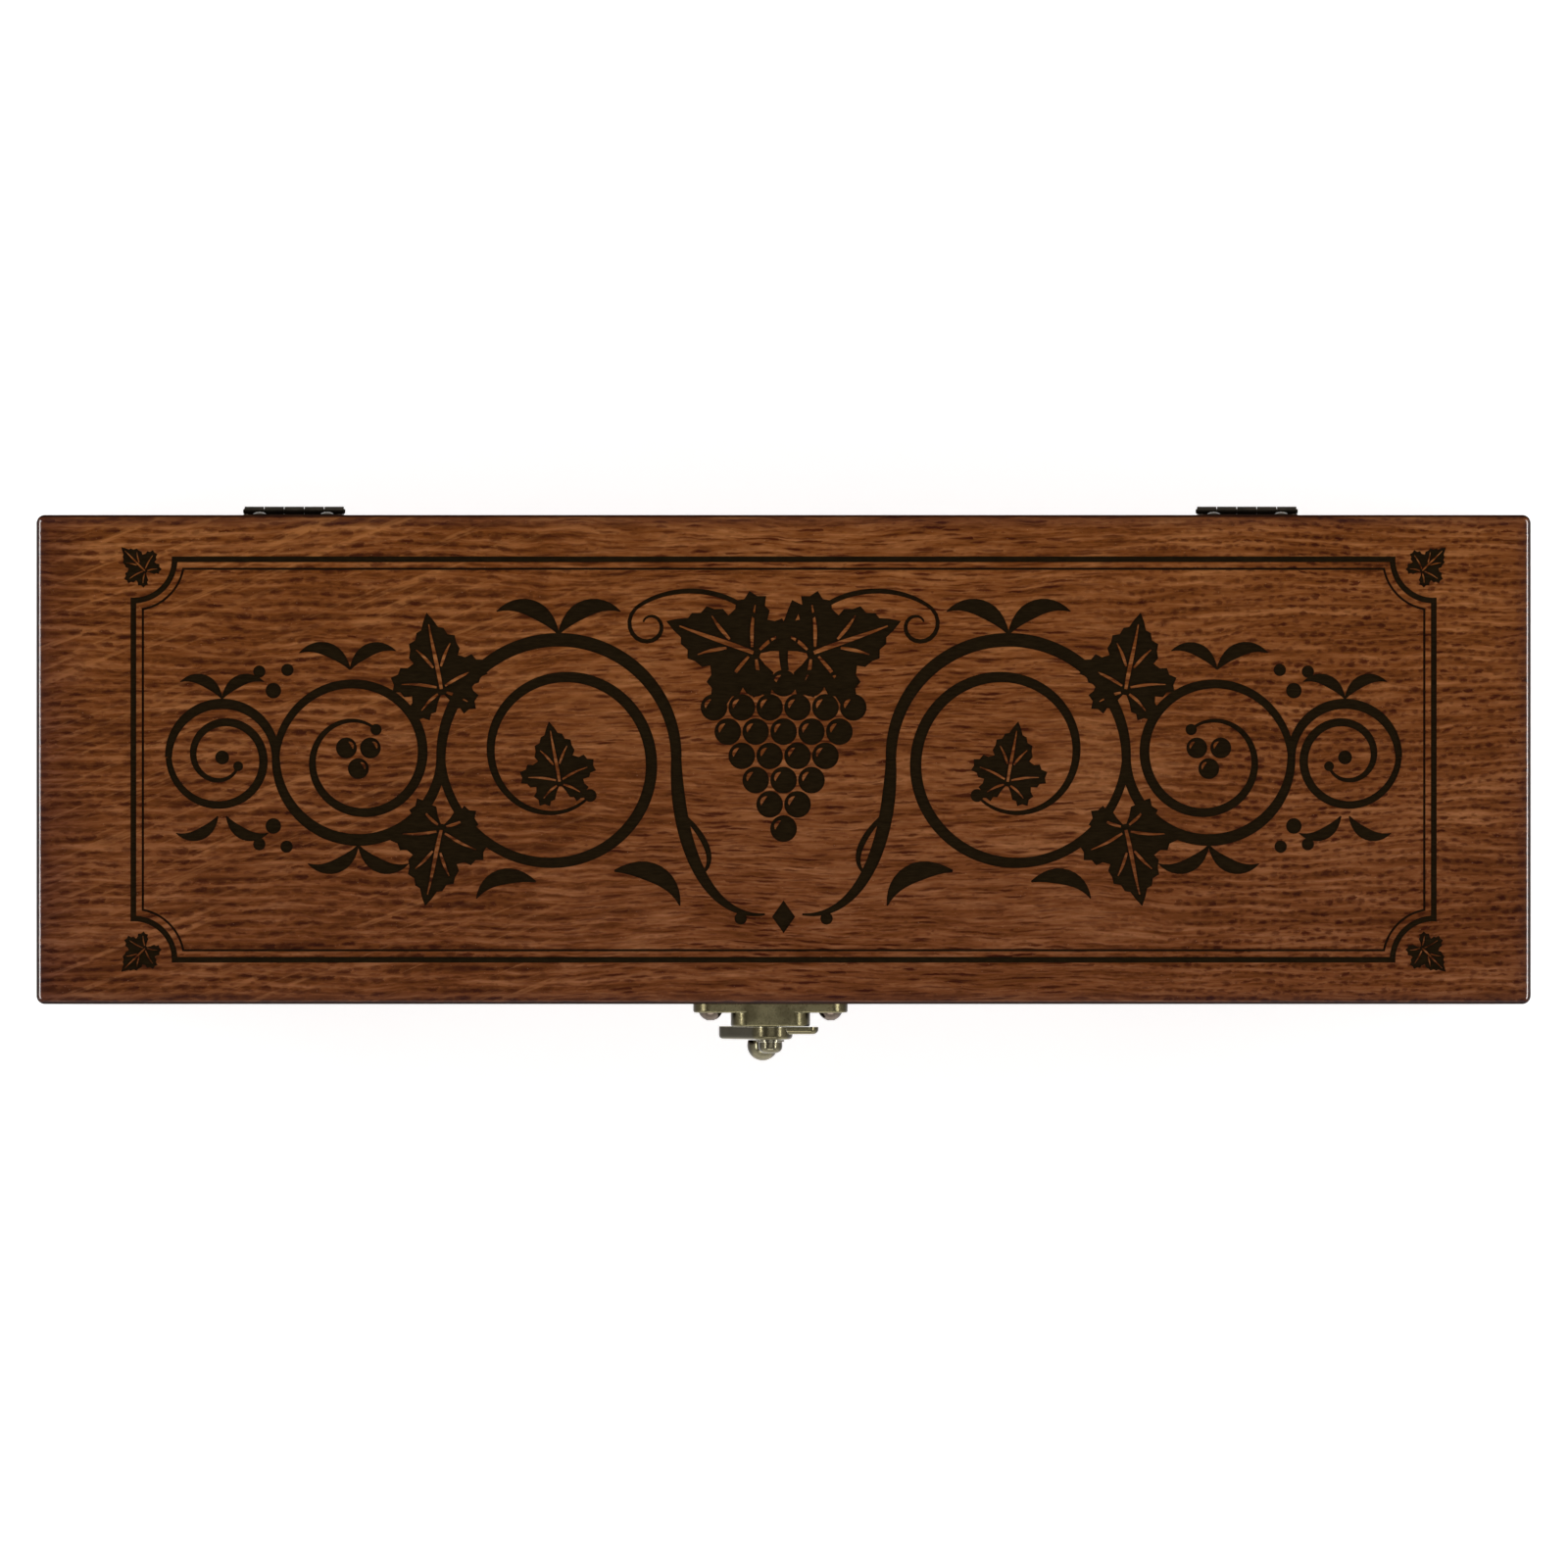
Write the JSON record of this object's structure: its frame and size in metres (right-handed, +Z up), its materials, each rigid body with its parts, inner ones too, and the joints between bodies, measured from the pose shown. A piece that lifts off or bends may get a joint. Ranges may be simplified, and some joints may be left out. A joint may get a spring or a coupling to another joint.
{
  "type": "wine box",
  "caption": "Hinged wooden presentation box for one wine bottle lying down, velvet lined with padded rests, closed by a riveted swing hook and ball stud.",
  "frame": {"origin": "middle of the wooden case at the underside of the felt it stands on", "axes": "+X along the box to the right seen from the front, -Y out of the front with the catch, +Z up"},
  "size_m": [0.362, 0.1351, 0.114],
  "materials": {
    "rosewood_veneer": "reddish-brown stained veneer with short dark pores, satin lacquer",
    "raw_board": "plain board, unfinished",
    "velvet": "black velvet over card or foam",
    "felt": "thin black felt",
    "antique_brass": "cast, olive antique plating, worn bright on edges",
    "screw_metal": "domed heads, darkened, with pinkish highlights",
    "dark_bronze": "stamped sheet, nearly black bronze plating"
  },
  "bodies": {
    "base": {"base_front_board": "rosewood_veneer", "base_back_board": "rosewood_veneer", "base_left_board": "rosewood_veneer", "base_right_board": "rosewood_veneer", "base_bottom_board": "raw_board", "base_felt": "felt", "floor_pad": "velvet", "base_front_lining": "velvet", "base_back_lining": "velvet", "base_left_lining": "velvet", "base_right_lining": "velvet", "body_rest": "velvet", "neck_rest": "velvet", "hinge_left_base_leaf": "dark_bronze", "hinge_right_base_leaf": "dark_bronze", "hinge_left_pin": "dark_bronze", "hinge_right_pin": "dark_bronze", "hinge_base_screws": "dark_bronze", "keeper_plate": "antique_brass", "keeper_stud": "antique_brass", "keeper_screws": "screw_metal"},
    "lid": {"lid_top_panel": "rosewood_veneer", "lid_front_rail": "rosewood_veneer", "lid_back_rail": "rosewood_veneer", "lid_left_rail": "rosewood_veneer", "lid_right_rail": "rosewood_veneer", "lid_pad": "velvet", "lid_front_lining": "velvet", "lid_back_lining": "velvet", "lid_left_lining": "velvet", "lid_right_lining": "velvet", "hinge_left_lid_leaf": "dark_bronze", "hinge_right_lid_leaf": "dark_bronze", "hinge_lid_screws": "dark_bronze", "latch_plate": "antique_brass", "latch_plate_screws": "screw_metal", "latch_pivot": "antique_brass", "latch_washer": "antique_brass"},
    "latch_hook": {"latch_hook": "antique_brass"}
  },
  "joints": [
    {"name": "lid_hinge", "type": "hinge", "parent": "base", "child": "lid", "pos_m": [-0.0032, 0.06055, 0.082], "axis": [-1, 0, 0], "range_deg": [0, 170]},
    {"name": "hook_swing", "type": "hinge", "parent": "lid", "child": "latch_hook", "pos_m": [-0.0032, -0.065, 0.0915], "axis": [0, -1, 0], "range_deg": [0, 30]}
  ]
}
